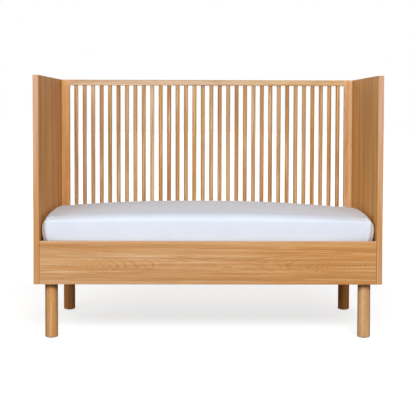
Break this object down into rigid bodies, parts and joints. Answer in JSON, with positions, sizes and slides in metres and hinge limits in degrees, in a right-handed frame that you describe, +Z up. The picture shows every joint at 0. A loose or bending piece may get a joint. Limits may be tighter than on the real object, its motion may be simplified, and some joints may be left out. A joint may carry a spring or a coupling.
{
  "type": "baby crib",
  "caption": "Oak baby crib in toddler-bed form: solid end panels, low front rail, spindle back, round legs, height-adjustable slatted base, mattress with fitted sheet.",
  "frame": {"origin": "on the floor under the middle of the crib's outer box", "axes": "+X along the length to the right, +Y from the low front rail to the spindle back, +Z up"},
  "size_m": [1.244, 0.65, 0.945],
  "materials": {
    "oak_panel": "satin",
    "oak_front_rail": "satin",
    "oak_frame": "satin",
    "oak_spindle": "satin",
    "oak_leg": "satin",
    "oak_board": "satin",
    "beech_base": "matte",
    "beech_dowel": "matte",
    "nylon_glide": "matte",
    "dark_bolt": "satin",
    "zinc_plate": "satin",
    "zinc_hardware": "satin",
    "mattress_ticking": "matte",
    "cotton_sheet": "matte"
  },
  "bodies": {
    "root": {"back_bottom_rail": "oak_frame", "back_stile_left": "oak_frame", "back_stile_right": "oak_frame", "back_top_rail": "oak_frame", "barrel_nuts": "zinc_hardware", "base_bolts": "dark_bolt", "base_inserts": "zinc_hardware", "end_panel_left": "oak_panel", "end_panel_right": "oak_panel", "frame_bolts": "dark_bolt", "frame_dowels": "beech_dowel", "front_rail": "oak_front_rail", "leg_back_left": "oak_leg", "leg_back_right": "oak_leg", "leg_board_left": "oak_board", "leg_board_right": "oak_board", "leg_bolts": "zinc_hardware", "leg_front_left": "oak_leg", "leg_front_right": "oak_leg", "leg_glides": "nylon_glide", "leg_inserts": "zinc_hardware", "spindle_01": "oak_spindle", "spindle_02": "oak_spindle", "spindle_03": "oak_spindle", "spindle_04": "oak_spindle", "spindle_05": "oak_spindle", "spindle_06": "oak_spindle", "spindle_07": "oak_spindle", "spindle_08": "oak_spindle", "spindle_09": "oak_spindle", "spindle_10": "oak_spindle", "spindle_11": "oak_spindle", "spindle_12": "oak_spindle", "spindle_13": "oak_spindle", "spindle_14": "oak_spindle", "spindle_15": "oak_spindle", "spindle_16": "oak_spindle", "spindle_17": "oak_spindle", "spindle_18": "oak_spindle", "spindle_19": "oak_spindle", "spindle_20": "oak_spindle", "spindle_21": "oak_spindle", "spindle_22": "oak_spindle", "spindle_23": "oak_spindle", "spindle_24": "oak_spindle", "spindle_25": "oak_spindle", "spindle_26": "oak_spindle", "spindle_27": "oak_spindle", "spindle_28": "oak_spindle", "spindle_29": "oak_spindle", "spindle_30": "oak_spindle", "spindle_31": "oak_spindle", "spindle_32": "oak_spindle"},
    "base": {"base_rail_front": "beech_base", "base_rail_back": "beech_base", "base_slats": "beech_base", "base_hook_plates": "zinc_plate", "base_screws": "zinc_hardware"},
    "mattress": {"mattress_core": "mattress_ticking", "fitted_sheet": "cotton_sheet"}
  },
  "joints": [
    {"name": "base_height", "type": "slide", "parent": "root", "child": "base", "axis": [0, 0, 1], "range_m": [0, 0.3]},
    {"name": "mattress_lift", "type": "slide", "parent": "base", "child": "mattress", "axis": [0, 0, 1], "range_m": [0, 0.65]}
  ]
}
